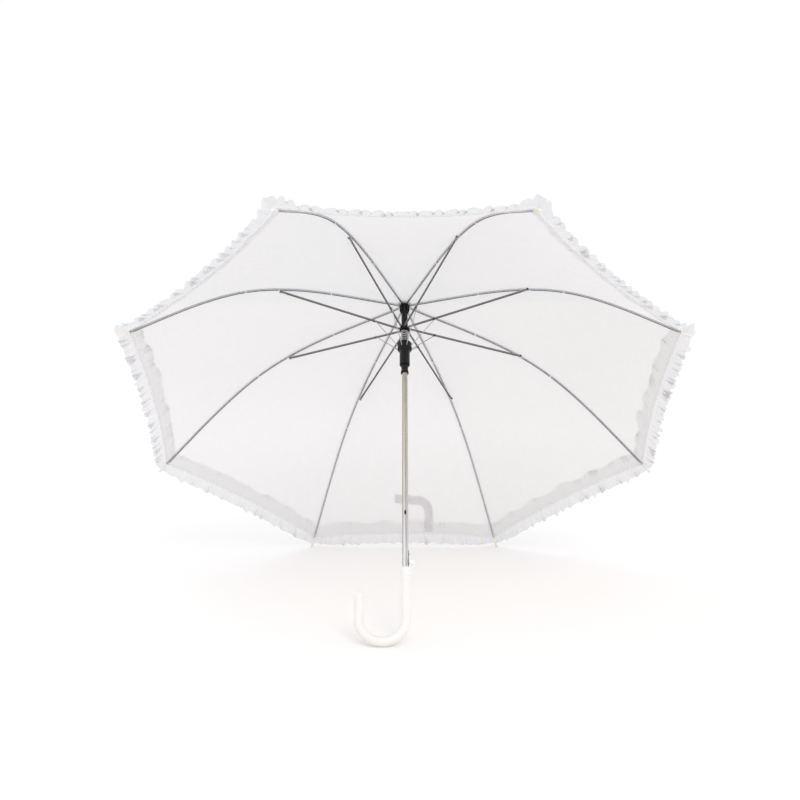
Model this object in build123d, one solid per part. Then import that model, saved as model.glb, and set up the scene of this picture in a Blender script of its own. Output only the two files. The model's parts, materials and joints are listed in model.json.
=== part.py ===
from build123d import *
from math import cos, degrees, hypot, radians, sin, tan
import os

# A stick umbrella with a frilled cloth canopy, open and lying on its hook handle and two rib tips.
# Everything is drawn in the shaft's own frame first: Z runs down the shaft from the plane of the
# rib hinges to the handle, X points to the push button, and the hook curls to -X.
# The whole umbrella is then tilted until it rests on the floor, Z up.

# ---- driving sizes, mm ----
rib_count = 8
tip_radius = 506.0            # shaft axis to the end of a rib's steel
tip_depth = 246.0             # rib hinge plane to the end of the ribs' steel, along the shaft
rib_joint_radius = 246.4      # where the stretchers meet the ribs, canopy open
rib_width = 3.0
rib_height = 3.0
hinge_wall = 2.8              # shaft surface to the hinge wires of the top notch and upper runner
stretcher_width = 2.6
stretcher_height = 3.2
strut_wire = 1.5
strut_reach = 53.0            # along a stretcher, from the upper runner to where its strut holds it
strut_pivot_wall = 6.5        # shaft surface to the struts' pivots
shaft_diameter = 10.0
shaft_wall = 0.8
runner_wall = 4.5             # shaft surface to the outside of the notch and both runners
flange_wall = 8.4
upper_runner_at = 58.4        # stretcher pivots below the rib hinges, canopy open
upper_runner_height = 9.5
lower_runner_top = 95.0
strut_pivot_at = 107.0
lower_runner_end = 167.6
spring_wall = 2.5             # shaft surface to the outside of the spring
spring_wire = 1.5
spring_turns = 10
spring_seat = 14.0            # how deep the spring sits in the lower runner
slot_mark_at = 473.0
catch_at = 550.0
button_at = 566.0
button_size = (5.9, 6.0, 7.0)
button_travel = 2.0
handle_top = 577.0
handle_straight = 92.0
handle_tube = 15.5
handle_collar = 17.5
hook_radius = 36.5
hook_return = 43.0
shaft_end = 637.0
ferrule_length = 54.5
ferrule_diameter = 9.2
cap_diameter = 28.0           # the rosette over the canopy's centre
canopy_thick = 1.2
canopy_gap = 2.4              # canopy's inner face above the middle of the ribs
canopy_end = 498.0            # where the cloth stops, along a rib
canopy_mid = 455.0            # and half way between two ribs
frill_band = 20.0
frill_thick = 1.5
soft_gap = 0.3
fit_gap = 0.05                # glued or pressed pieces
slide_gap = 0.2               # pieces that slide or turn
strap_width = 18.0
strap_length = 125.0
strap_side = 52.0             # the strap's sewn end, beside the middle of the lowest gore
strap_leg = 40.0              # from the hem up to where it curls over
strap_curl = 24.0
tip_ball = 6.0
tip_sleeve = 5.0
tip_sleeve_length = 11.0      # how far a tip's cap reaches back over the rib
tip_reach = 7.0               # and from the rib's end on to the middle of the cap's ball

# The rib's bend, as (radius, depth) shares of the tip's radius and depth.
RIB_BEND = [(0.15, 0.042), (0.3, 0.089), (0.45, 0.162), (0.6, 0.291), (0.75, 0.510), (0.9, 0.798)]

# ---- derived ----
sector = 360 / rib_count
half = radians(sector / 2)
shaft_r = shaft_diameter / 2
hinge_radius = shaft_r + hinge_wall
strut_pivot_radius = shaft_r + strut_pivot_wall
runner_r = shaft_r + runner_wall
flange_r = shaft_r + flange_wall
spring_r = shaft_r + spring_wall
slide_r = shaft_r + slide_gap
stretcher_near = rib_width / 2 + 0.5          # the stretcher's plane lies beside the rib's
stretcher_far = stretcher_near + stretcher_width
strut_side = stretcher_near - soft_gap - strut_wire / 2
upper_top = upper_runner_at - upper_runner_height / 2
upper_bottom = upper_runner_at + upper_runner_height / 2
hook_middle = handle_top + handle_straight

parts = {}


# ---- drawing helpers; a side view is drawn in the XZ plane, with Y across it ----
def polygon(points, y0, y1):
    wire = Wire.make_polygon([Vector(x, y0, z) for x, z in points], close=True)
    return extrude(Face(wire), amount=y1 - y0, dir=(0, 1, 0))


def band(outer, inner, y0, y1):
    """A strip between two smooth lines, extruded across."""
    a = [Vector(x, y0, z) for x, z in outer]
    b = [Vector(x, y0, z) for x, z in inner]
    edges = [Edge.make_spline(a), Edge.make_line(a[-1], b[-1])]
    edges += [Edge.make_spline(b[::-1]), Edge.make_line(b[0], a[0])]
    return extrude(Face(Wire(edges)), amount=y1 - y0, dir=(0, 1, 0))


def disc(x, z, radius, y0, y1):
    """A short round pin across, such as a rivet head or an eye."""
    plane = Plane(origin=(x, y0, z), x_dir=(1, 0, 0), z_dir=(0, 1, 0))
    return extrude(plane * Circle(radius), amount=y1 - y0, dir=(0, 1, 0))


def tube(radius, bore, z0, z1):
    solid = Pos(0, 0, z0) * Cylinder(radius, z1 - z0, align=(Align.CENTER, Align.CENTER, Align.MIN))
    if not bore:
        return solid
    return solid - Pos(0, 0, z0 - 1) * Cylinder(
        bore, z1 - z0 + 2, align=(Align.CENTER, Align.CENTER, Align.MIN)
    )


def box(x0, x1, y0, y1, z0, z1):
    return Pos((x0 + x1) / 2, (y0 + y1) / 2, (z0 + z1) / 2) * Box(x1 - x0, y1 - y0, z1 - z0)


def turned(points):
    """A solid turned about the shaft from (radius, z) points."""
    wire = Wire.make_polygon([Vector(r, 0, z) for r, z in points], close=True)
    return revolve(Face(wire), axis=Axis.Z)


def spun(shape):
    """The same shape at each rib, as one list."""
    return [Rot(0, 0, sector * (k + 0.5)) * shape for k in range(rib_count)]


# ---- the rib's line, in its own plane ----
line_points = [(hinge_radius, 0.0)]
line_points += [(r * tip_radius, d * tip_depth) for r, d in RIB_BEND]
line_points += [(tip_radius, tip_depth)]
rib_line = Edge.make_spline([Vector(x, 0, z) for x, z in line_points])


def at_radius(radius):
    low, high = 0.0, 1.0
    for _ in range(40):
        middle = (low + high) / 2
        if (rib_line @ middle).X < radius:
            low = middle
        else:
            high = middle
    return low


def along(start, stop, offset, count=14, squeeze=1.0):
    """Points on the rib's line moved by offset towards the handle. squeeze turns it to a gore's middle."""
    found = []
    for i in range(count + 1):
        t = start + (stop - start) * i / count
        p, d = rib_line @ t, rib_line % t
        x, z = d.X * squeeze, d.Z
        size = hypot(x, z)
        found.append((p.X * squeeze - offset * z / size, p.Z + offset * x / size))
    return found


t_joint = at_radius(rib_joint_radius)
joint_point = rib_line @ t_joint
joint_x, joint_z = joint_point.X, joint_point.Z
stretcher_x, stretcher_z = along(t_joint, 1, 2.0, 1)[0]
tip_way = rib_line % 1.0
tip_x, tip_z = tip_way.X, tip_way.Z

# ---- ribs: a channel in two lengths, hinged where the stretcher holds it ----
h = rib_height / 2
w = rib_width / 2


def rib_length(start, stop):
    bar = band(along(start, stop, -h), along(start, stop, h), -w, w)
    inset = 6.0 / rib_line.length
    groove = band(
        along(start + inset, stop - inset, -h + 0.8),
        along(start + inset, stop - inset, h + 1),
        -w + 0.6,
        w - 0.6,
    )
    return bar - groove


t_sleeve = 1 - (tip_sleeve_length + 1) / rib_line.length
inner_rib = rib_length(0, t_joint) + disc(hinge_radius, 0, h, -w, w)
inner_rib += disc(joint_x, joint_z, h, -w, w)
inner_rib -= disc(joint_x, joint_z, h + 0.8, -0.15, w + 1)
outer_rib = rib_length(t_joint, t_sleeve) + disc(joint_x, joint_z, h, -w, w)
outer_rib -= disc(joint_x, joint_z, h + 0.8, -w - 1, 0.15)


def along_tip(start, stop, radius):
    """A round pin on the rib's last straight bit, measured back from the tip."""
    origin = (tip_radius - start * tip_x, 0, tip_depth - start * tip_z)
    plane = Plane(origin=origin, z_dir=(tip_x, 0, tip_z))
    return extrude(plane * Circle(radius), amount=start - stop)


outer_rib += along_tip(tip_sleeve_length + 2, 1.0, 1.2)
ball_x, ball_z = tip_radius + tip_reach * tip_x, tip_depth + tip_reach * tip_z
tip = along_tip(tip_sleeve_length, -tip_reach, tip_sleeve / 2) + Pos(ball_x, 0, ball_z) * Sphere(tip_ball / 2)
tip -= along_tip(tip_sleeve_length + 5, 0.8, 1.2 + fit_gap)

# ---- stretchers and the thin struts that push them ----
reach = hypot(stretcher_x - hinge_radius, stretcher_z - upper_runner_at)
way_x = (stretcher_x - hinge_radius) / reach
way_z = (stretcher_z - upper_runner_at) / reach
sh = stretcher_height / 2


def beside(x, z, offset):
    return (x - offset * way_z, z + offset * way_x)


ends = [(hinge_radius, upper_runner_at), (stretcher_x, stretcher_z)]
stretcher = polygon(
    [beside(*ends[0], -sh), beside(*ends[1], -sh), beside(*ends[1], sh), beside(*ends[0], sh)],
    stretcher_near,
    stretcher_far,
)
groove_ends = [
    (hinge_radius + 14 * way_x, upper_runner_at + 14 * way_z),
    (stretcher_x - 10 * way_x, stretcher_z - 10 * way_z),
]
stretcher -= polygon(
    [
        beside(*groove_ends[0], -0.3),
        beside(*groove_ends[1], -0.3),
        beside(*groove_ends[1], sh + 1),
        beside(*groove_ends[0], sh + 1),
    ],
    stretcher_near + 0.6,
    stretcher_far - 0.6,
)
for x, z in ends:
    stretcher += disc(x, z, sh + 0.2, stretcher_near, stretcher_far)
    stretcher += disc(x, z, sh, stretcher_far, stretcher_far + 0.6)

hold_x = hinge_radius + strut_reach * way_x
hold_z = upper_runner_at + strut_reach * way_z
strut_run = hypot(hold_x - strut_pivot_radius, hold_z - strut_pivot_at)
strut_plane = Plane(
    origin=(strut_pivot_radius, strut_side, strut_pivot_at),
    z_dir=(hold_x - strut_pivot_radius, 0, hold_z - strut_pivot_at),
)
strut = extrude(strut_plane * Circle(strut_wire / 2), amount=strut_run)
for x, z in [(strut_pivot_radius, strut_pivot_at), (hold_x, hold_z)]:
    strut += disc(x, z, 1.4, strut_side - strut_wire / 2, strut_side + strut_wire / 2)

# ---- canopy: one piece of cloth per rib, out to the middle of the gores on both sides ----
gore = cos(half)


def gore_sheet(start, stop, near, far, y0, y1):
    """A sheet straight across a gore, drawn square to the gore's middle plane."""
    return band(
        along(start, stop, -far, 20, gore),
        along(start, stop, -near, 20, gore),
        y0,
        y1,
    )


def rib_sector():
    """The cloth's outline seen along the shaft, rib on +X."""
    side = soft_gap / 2
    hole = shaft_r + 0.6
    low = [(hole, 0), (hole * cos(half) + side * sin(half), hole * sin(half) - side * cos(half))]
    rim = []
    for i in range(7):
        share = i / 6
        # from the gore's middle out to the rib, on a shallow curve
        middle = canopy_mid
        across = canopy_end * sin(half) * share
        out = middle + (canopy_end * cos(half) - middle) * share**2
        rim.append((out * cos(half) + across * sin(half), out * sin(half) - across * cos(half)))
    rim[0] = (rim[0][0] + side * sin(half), rim[0][1] - side * cos(half))
    upper = low + rim
    lower = [(x, -y) for x, y in upper[::-1] if y > 1e-6]
    return Wire.make_polygon([Vector(x, y, -40) for x, y in upper + lower], close=True)


def half_cloth(sign, start, stop, near, far):
    """The sheet on one side of the rib on +X. sign -1 is the side towards lower angles."""
    sheet = Rot(0, 0, sign * sector / 2) * gore_sheet(start, stop, near, far, -260, 260)
    side = Wire.make_polygon(
        [Vector(0, 0, -50), Vector(700, 0, -50), Vector(700, sign * 700 * tan(half), -50)], close=True
    )
    return sheet & extrude(Face(side), amount=500, dir=(0, 0, 1))


sector_prism = extrude(Face(rib_sector()), amount=480, dir=(0, 0, 1))
t_band = at_radius(canopy_end - frill_band)
canopy_top = canopy_gap + canopy_thick
cloth = None
for sign in (1, -1):
    cloth_side = half_cloth(sign, 0.0, 1.0, canopy_gap, canopy_top)
    cloth_side += half_cloth(sign, t_band, 1.0, canopy_top - 0.1, canopy_top + frill_thick)
    cloth = cloth_side if cloth is None else cloth + cloth_side
cloth = cloth & sector_prism

# the tie strap lies on the outside of the lowest gore: up from the hem, then over to the hook's side
def strap_point(run):
    """Place beside the gore's middle, way up from the hem and heading, run along the strap."""
    turn = strap_curl * radians(90)
    if run < strap_leg:
        return strap_side, run, 0.0
    angle = min((run - strap_leg) / strap_curl, radians(90))
    rest = max(run - strap_leg - turn, 0)
    side = strap_side - strap_curl * (1 - cos(angle)) - rest
    return side, strap_leg + strap_curl * sin(angle) + 0.08 * rest, angle


slant = 1.38                  # length down the cloth near the hem for each step out from the shaft
edges = []
for sign in (1, -1):
    edge = []
    for i in range(31):
        side, up, angle = strap_point(strap_length * i / 30)
        side += sign * strap_width / 2 * cos(angle)
        up += sign * strap_width / 2 * sin(angle)
        edge.append((canopy_mid - 3 - up / slant, side))
    edges.append(edge)
strap_plan = Wire.make_polygon([Vector(x, y, 0) for x, y in edges[0] + edges[1][::-1]], close=True)
t_strap_end = at_radius(canopy_mid / gore - frill_band - 3)
t_strap = at_radius(canopy_mid / gore - strap_length)
strap = gore_sheet(t_strap, t_strap_end, canopy_top + soft_gap, canopy_top + soft_gap + 0.8, -90, 90)
strap = Rot(0, 0, -90) * (strap & extrude(Face(strap_plan), amount=480, dir=(0, 0, 1)))

# ---- shaft and what is fixed to it ----
shaft = tube(shaft_r, shaft_r - shaft_wall, -20, shaft_end)
shaft -= box(-1.5, 1.5, 0, shaft_r + 4, slot_mark_at - 4, slot_mark_at + 4)
shaft -= Pos(shaft_r + 1, 0, button_at) * Rot(0, 90, 0) * Cylinder(1.8, 8)

notch = turned(
    [
        (shaft_r + fit_gap, -1.6),
        (runner_r - 0.8, -1.6),
        (runner_r, 1.0),
        (runner_r, 11.0),
        (runner_r - 2.0, 16.0),
        (shaft_r + 1.4, 20.0),
        (shaft_r + fit_gap, 20.0),
    ]
)
for slot in spun(box(hinge_radius - h - 0.3, runner_r + 3, -w - soft_gap, w + soft_gap, -3, 24)):
    notch -= slot

sleeve = tube(shaft_r + 1.0, shaft_r + fit_gap, 20.1, upper_top - 0.1)

cap_bottom = -canopy_top - soft_gap
rosette = turned(
    [
        (shaft_r + fit_gap, cap_bottom),
        (cap_diameter / 2 - 1, cap_bottom + 0.2),
        (cap_diameter / 2, cap_bottom - 0.8),
        (cap_diameter / 2 - 3, cap_bottom - 2.0),
        (shaft_r + fit_gap, cap_bottom - 2.4),
    ]
)
rosette_top = cap_bottom - 2.4
fr = ferrule_diameter / 2
ferrule = turned(
    [
        (shaft_r + fit_gap, rosette_top - fit_gap),
        (shaft_r + 2.4, rosette_top - fit_gap),
        (shaft_r + 2.0, rosette_top - 14),
        (fr, rosette_top - 26),
        (fr, rosette_top - ferrule_length + 2),
        (fr - 2, rosette_top - ferrule_length),
        (0, rosette_top - ferrule_length),
        (0, -20 - fit_gap),
        (shaft_r + fit_gap, -20 - fit_gap),
    ]
)

# ---- runners and spring ----
upper_runner = tube(runner_r, slide_r, upper_top, upper_bottom)
stretcher_slot = box(
    hinge_radius - sh - 0.3,
    runner_r + 3,
    stretcher_near - soft_gap,
    stretcher_far + 0.6 + soft_gap,
    upper_top - 1,
    upper_runner_at + sh + 0.8,
)
for slot in spun(stretcher_slot):
    upper_runner -= slot

fl = flange_r
rr = runner_r
lower_runner = turned(
    [
        (slide_r, lower_runner_top + spring_seat),
        (spring_r + 0.4, lower_runner_top + spring_seat),
        (spring_r + 0.4, lower_runner_top),
        (fl - 1.4, lower_runner_top),
        (fl, lower_runner_top + 2.5),
        (fl, strut_pivot_at + 3.0),
        (rr + 0.6, strut_pivot_at + 6.0),
        (rr, strut_pivot_at + 10.0),
        (rr, lower_runner_end - 20.0),
        (rr - 1.0, lower_runner_end - 18.6),
        (shaft_r + 1.5, lower_runner_end - 18.2),
        (shaft_r + 1.3, lower_runner_end - 7.0),
        (shaft_r + 2.5, lower_runner_end - 1.5),
        (shaft_r + 2.3, lower_runner_end),
        (slide_r, lower_runner_end),
    ]
)
strut_slot = box(
    strut_pivot_radius - 1.9,
    fl + 2,
    strut_side - strut_wire / 2 - soft_gap,
    strut_side + strut_wire / 2 + soft_gap,
    lower_runner_top - 1,
    strut_pivot_at + 1.9,
)
for slot in spun(strut_slot):
    lower_runner -= slot
lower_runner -= box(shaft_r - 1, shaft_r + 4, -1.8, 1.8, lower_runner_end - 17, lower_runner_end + 1)

spring_low = upper_bottom + 0.1 + spring_wire / 2
spring_run = lower_runner_top + spring_seat - 0.1 - spring_wire / 2 - spring_low
coil = Helix(spring_run / spring_turns, spring_run, spring_r - spring_wire / 2)
wire_end = Plane(origin=coil @ 0, z_dir=coil % 0) * RegularPolygon(spring_wire / 2, 8)
spring = sweep(wire_end, path=coil, is_frenet=True)
spring = Pos(0, 0, spring_low) * spring

# ---- catch, release lever and push button ----
lever_top = shaft_r + fit_gap
lever = box(lever_top, lever_top + 0.8, -1.4, 1.4, catch_at - 6, handle_top - 0.3)
bump = lever_top + 1.9
lever += polygon(
    [(lever_top, catch_at - 3), (bump, catch_at + 0.5), (bump, catch_at + 2), (lever_top, catch_at + 3)],
    -1.1,
    1.1,
)
lever += box(lever_top, lever_top + 0.8, -3.2, 3.2, button_at - 5, button_at + 5)
lever -= Pos(shaft_r + 2, 0, button_at) * Rot(0, 90, 0) * Cylinder(1.8, 6)
button_base = lever_top + 0.8 + button_travel + slide_gap
button = box(
    button_base,
    button_base + button_size[0],
    -button_size[1] / 2,
    button_size[1] / 2,
    button_at - button_size[2] / 2,
    button_at + button_size[2] / 2,
)
button = fillet(button.edges().filter_by(Axis.X), 2.2)
button = fillet(button.faces().sort_by(Axis.X)[-1].edges(), 1.4)
button += Pos((button_base + 1.5) / 2, 0, button_at) * Rot(0, 90, 0) * Cylinder(1.5, button_base + 0.5)

# ---- hook handle ----
hr = handle_tube / 2
near_side = Vector(0, 0, hook_middle)
far_side = Vector(-2 * hook_radius, 0, hook_middle)
hook_end = far_side - Vector(0, 0, hook_return)
bend = Edge.make_three_point_arc(near_side, Vector(-hook_radius, 0, hook_middle + hook_radius), far_side)
hook = Wire([Edge.make_line((0, 0, handle_top), near_side), bend, Edge.make_line(far_side, hook_end)])
handle = sweep(Plane.XY.offset(handle_top) * Circle(hr), path=hook)
handle += Pos(hook_end) * Sphere(hr)
handle += turned(
    [
        (0, handle_top),
        (handle_collar / 2 - 1, handle_top),
        (handle_collar / 2, handle_top + 1.2),
        (handle_collar / 2, handle_top + 9),
        (hr - 0.2, handle_top + 12),
        (0, handle_top + 12),
    ]
)
handle -= tube(shaft_r + fit_gap, 0, handle_top - 5, shaft_end + 0.2)

# ---- names ----
parts["shaft"] = shaft
parts["top_notch"] = notch
parts["spacer_sleeve"] = sleeve
parts["rosette_cap"] = rosette
parts["ferrule"] = ferrule
parts["upper_runner"] = upper_runner
parts["lower_runner"] = lower_runner
parts["coil_spring"] = spring
parts["release_lever"] = lever
parts["push_button"] = button
parts["handle"] = handle
parts["tie_strap"] = strap
for name, shape in [
    ("rib_inner", inner_rib),
    ("rib_outer", outer_rib),
    ("rib_tip", tip),
    ("stretcher", stretcher),
    ("strut", strut),
    ("canopy", cloth),
]:
    for number, copy_of in enumerate(spun(shape), 1):
        parts[f"{name}_{number}"] = copy_of

# ---- lay it down: the hook's bend and the two lowest tips touch the floor ----
low_tip = ball_x * cos(half)
hook_low = hook_middle + hook_radius


def gap_between(tilt):
    """Height of the lowest tips above the hook's bend, for a shaft that rises by tilt."""
    tips = -low_tip * cos(tilt) - ball_z * sin(tilt) - tip_ball / 2
    bend = -hook_low * sin(tilt) - hr
    return tips - bend


low, high = radians(20), radians(70)
for _ in range(50):
    middle = (low + high) / 2
    if gap_between(middle) < 0:
        low = middle
    else:
        high = middle
tilt = low
laid = {name: Rot(90 + degrees(tilt), 0, 0) * shape for name, shape in parts.items()}
boxes = [shape.bounding_box() for shape in laid.values()]
shift = Pos(
    -(min(b.min.X for b in boxes) + max(b.max.X for b in boxes)) / 2,
    -(min(b.min.Y for b in boxes) + max(b.max.Y for b in boxes)) / 2,
    -min(b.min.Z for b in boxes),
)

os.makedirs("parts", exist_ok=True)
for name, shape in laid.items():
    export_step(shift * shape, f"parts/{name}.step")
print("tilt", round(degrees(tilt), 4), "shift", shift.position)
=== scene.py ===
"""A frilled stick umbrella, open and lying on its hook handle and two rib tips."""

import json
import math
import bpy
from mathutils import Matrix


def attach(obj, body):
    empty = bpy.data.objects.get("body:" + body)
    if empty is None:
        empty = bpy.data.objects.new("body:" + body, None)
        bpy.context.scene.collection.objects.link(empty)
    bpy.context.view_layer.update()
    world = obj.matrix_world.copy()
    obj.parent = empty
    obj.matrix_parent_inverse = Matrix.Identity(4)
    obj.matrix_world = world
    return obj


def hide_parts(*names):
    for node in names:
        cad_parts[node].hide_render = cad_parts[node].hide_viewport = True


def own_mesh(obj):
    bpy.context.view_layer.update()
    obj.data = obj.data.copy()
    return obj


bl_info = {
    "name": "Frilled stick umbrella",
    "version": (1, 0, 0),
    "blender": (4, 5, 0),
    "location": "View3D > Sidebar > Umbrella",
    "description": "Cloth, frill, fittings and finishes for an open stick umbrella",
    "category": "Object",
}

import bpy
import numpy as np
from bpy.props import FloatProperty, FloatVectorProperty, IntProperty, PointerProperty
from bpy.types import Operator, Panel, PropertyGroup
from mathutils import Matrix, Vector

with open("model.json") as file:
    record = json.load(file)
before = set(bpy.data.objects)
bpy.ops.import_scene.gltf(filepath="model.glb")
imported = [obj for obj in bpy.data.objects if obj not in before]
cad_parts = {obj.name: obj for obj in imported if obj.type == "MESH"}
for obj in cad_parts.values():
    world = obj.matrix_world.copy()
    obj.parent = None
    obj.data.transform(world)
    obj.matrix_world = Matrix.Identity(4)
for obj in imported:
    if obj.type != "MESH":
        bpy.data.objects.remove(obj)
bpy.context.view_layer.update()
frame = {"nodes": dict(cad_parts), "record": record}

RIBS = 8
HALF = math.pi / RIBS
RECORD = frame["record"]
JOINTS = {j["name"]: j for j in RECORD["behaviour"]["joints"]}

# ---- the shaft's own frame: origin between the rib hinges, Z down the shaft, X to the button ----
ORIGIN = np.mean([JOINTS[f"rib_hinge_{k}"]["pos_m"] for k in range(1, RIBS + 1)], axis=0)
AXIS_Z = np.array(JOINTS["fold"]["axis"], float)
AXIS_X = np.array([1.0, 0.0, 0.0])
AXIS_Y = np.cross(AXIS_Z, AXIS_X)
TURN = np.stack([AXIS_X, AXIS_Y, AXIS_Z], axis=1)

# ---- the rib's bend: share of the tip's radius, and depth below the hinges as a share of the tip's ----
TIP_RADIUS, TIP_DEPTH = 0.506, 0.246
HINGE_RADIUS = 0.0078
SHAFT_RADIUS = 0.005
HEM_RADIUS = 0.498  # where the cloth stops, along a rib
SHEET_START = 0.0062  # the cloth's hole round the shaft
RIM_SINE, RIM_COSINE = math.sin(HALF), math.cos(HALF)
RIB_BEND = [(0.15, 0.042), (0.3, 0.089), (0.45, 0.162), (0.6, 0.291), (0.75, 0.510), (0.9, 0.798)]
BEND = np.array(JOINTS["rib_bend_1"]["pos_m"]) - ORIGIN
JOINT_RADIUS = float(np.linalg.norm(BEND - AXIS_Z * np.dot(BEND, AXIS_Z)))
# a strut meets its stretcher, and a stretcher its rib, at these (radius, depth); rivets sit beside them
STRUT_MEETS, STRETCHER_MEETS = (0.06075, 0.05607), (0.24573, 0.04794)
# the spring's seat in the lower runner, and from the end of its room to the middle of its wire
RUNNER_TOP, SEAT, COIL_END = 0.0950, 0.0140, 0.0009
STRAP_LENGTH, STRAP_WIDTH, STRAP_SIDE, STRAP_LEG, STRAP_CURL = 0.125, 0.018, 0.052, 0.040, 0.024
STRAP_GORE, STRAP_HEM, STRAP_SLANT = 6, 0.452, 1.38
# from the camera to the notch, in shares of the ribs' reach: to the right, up and ahead
REACH, RIGHT, RAISED, AHEAD = 0.508, 0.0172, 0.3555, 4.2492


def smooth_line(xs, ys):
    """A natural cubic through the points, straight on past both ends. Returns value and slope functions."""
    x, y = np.array(xs, float), np.array(ys, float)
    n, h = len(x), np.diff(x)
    a, r = np.eye(n), np.zeros(n)
    for i in range(1, n - 1):
        a[i, i - 1 : i + 2] = h[i - 1], 2 * (h[i - 1] + h[i]), h[i]
        r[i] = 6 * ((y[i + 1] - y[i]) / h[i] - (y[i] - y[i - 1]) / h[i - 1])
    m = np.linalg.solve(a, r)

    def value(q, want_slope=False):
        q = np.asarray(q, float)
        c = np.clip(q, x[0], x[-1])
        i = np.clip(np.searchsorted(x, c) - 1, 0, n - 2)
        u, v, w = c - x[i], x[i + 1] - c, h[i]
        s = (m[i + 1] * u**2 - m[i] * v**2) / (2 * w)
        s += (y[i + 1] - y[i]) / w - (m[i + 1] - m[i]) * w / 6
        if want_slope:
            return s
        out = (m[i] * v**3 + m[i + 1] * u**3) / (6 * w)
        out += (y[i] / w - m[i] * w / 6) * v + (y[i + 1] / w - m[i + 1] * w / 6) * u
        return out + s * (q - c)

    return value


RIB = smooth_line(
    [HINGE_RADIUS] + [r * TIP_RADIUS for r, _ in RIB_BEND] + [TIP_RADIUS],
    [0.0] + [d * TIP_DEPTH for _, d in RIB_BEND] + [TIP_DEPTH],
)


def to_row(points):
    """Points of the shaft's frame, in the row's frame."""
    return ORIGIN + np.asarray(points, float) @ TURN.T


def rib_angle(k):
    """The angle about the shaft of rib k, from 1."""
    return HALF * (2 * k - 1)


def spin(points, angle):
    c, s = math.cos(angle), math.sin(angle)
    p = np.asarray(points, float)
    return np.stack([p[:, 0] * c - p[:, 1] * s, p[:, 0] * s + p[:, 1] * c, p[:, 2]], axis=1)


def across(k):
    """The direction square to rib k and the shaft, in the row's frame."""
    return tuple(float(v) for v in TURN @ np.array([-math.sin(rib_angle(k)), math.cos(rib_angle(k)), 0]))


# ---- sizes and colours a user would change ----
class CanopySizes(PropertyGroup):
    lift: FloatProperty(
        name="Lift", description="Cloth above the ribs' backs", default=0.0024, unit="LENGTH"
    )
    scallop: FloatProperty(
        name="Scallop",
        description="How far the hem runs in between two ribs",
        default=0.0055,
        unit="LENGTH",
    )
    sag: FloatProperty(
        name="Sag",
        description="How far a gore dips inwards between its ribs",
        default=0.0095,
        unit="LENGTH",
    )
    fall: FloatProperty(
        name="Fall",
        description="How far the hem hangs where a gore faces straight up",
        default=0.014,
        unit="LENGTH",
    )
    pucker: FloatProperty(
        name="Pucker", description="Height of the small puckers at the hem", default=0.0007, unit="LENGTH"
    )
    closed_keep: FloatProperty(
        name="Closed width", description="Share of its width the cloth keeps when folded", default=0.045
    )


class FrillSizes(PropertyGroup):
    inside: FloatProperty(
        name="Inside", description="Frill from its seam in over the canopy", default=0.0170, unit="LENGTH"
    )
    outside: FloatProperty(
        name="Outside", description="Frill from its seam out past the hem", default=0.0180, unit="LENGTH"
    )
    seam: FloatProperty(
        name="Seam", description="Seam's distance inside the hem", default=0.003, unit="LENGTH"
    )
    folds: IntProperty(name="Folds", description="Loose folds around the whole hem", default=176)
    gathers: IntProperty(
        name="Gathers", description="Fine gathers at the seam, around the hem", default=472
    )
    height: FloatProperty(
        name="Height", description="How far the folds stand at the free edge", default=0.0019, unit="LENGTH"
    )
    overlap: FloatProperty(
        name="Overlap", description="How far a fold leans over the next", default=0.0017, unit="LENGTH"
    )
    flare: FloatProperty(
        name="Flare",
        description="How far it stands up where a gore faces straight up",
        default=0.009,
        unit="LENGTH",
    )
    sink: FloatProperty(name="Sink", description="How far the frill's weight pulls it askew", default=0.45)


class Finishes(PropertyGroup):
    cloth: FloatVectorProperty(
        name="Cloth", description="Canopy cloth", subtype="COLOR", size=3, default=(0.758, 0.735, 0.729)
    )
    frill: FloatVectorProperty(
        name="Frill", description="Sheer frill", subtype="COLOR", size=3, default=(0.74, 0.73, 0.74)
    )
    black: FloatVectorProperty(
        name="Black",
        description="Notch, sleeve and runners",
        subtype="COLOR",
        size=3,
        default=(0.008, 0.008, 0.009),
    )
    handle: FloatVectorProperty(
        name="Handle",
        description="Milky handle plastic",
        subtype="COLOR",
        size=3,
        default=(0.805, 0.795, 0.77),
    )
    shaft: FloatVectorProperty(
        name="Shaft", description="Shaft steel", subtype="COLOR", size=3, default=(0.58, 0.52, 0.405)
    )


class StageSizes(PropertyGroup):
    lens: FloatProperty(name="Lens", description="Focal length, mm", default=50.27)
    shaft_angle: FloatProperty(
        name="Shaft angle",
        description="Between the view and the shaft",
        default=math.radians(51.6),
        subtype="ANGLE",
    )
    floor: FloatProperty(name="Floor", description="Side of the floor", default=60.0, unit="LENGTH")


class UmbrellaSettings(PropertyGroup):
    canopy: PointerProperty(type=CanopySizes)
    frill: PointerProperty(type=FrillSizes)
    finish: PointerProperty(type=Finishes)
    stage: PointerProperty(type=StageSizes)


def settings():
    return bpy.context.scene.umbrella


# ---- node helpers ----
def group(name, ins, outs):
    """A new shader node group. ins are (name, socket type, default), outs (name, socket type)."""
    tree = bpy.data.node_groups.new(name, "ShaderNodeTree")
    for n, kind, value in ins:
        s = tree.interface.new_socket(n, in_out="INPUT", socket_type=kind)
        s.default_value = value
    for n, kind in outs:
        tree.interface.new_socket(n, in_out="OUTPUT", socket_type=kind)
    return tree, tree.nodes.new("NodeGroupInput"), tree.nodes.new("NodeGroupOutput")


def add(tree, kind, links=(), **values):
    """A node with its properties set by name, its sockets by number or name, and its inputs linked."""
    node = tree.nodes.new(kind)
    for key, value in values.items():
        if key.startswith("in_"):
            node.inputs[int(key[3:])].default_value = value
        else:
            setattr(node, key, value)
    for where, source in links:
        tree.links.new(source, node.inputs[where])
    return node


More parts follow.
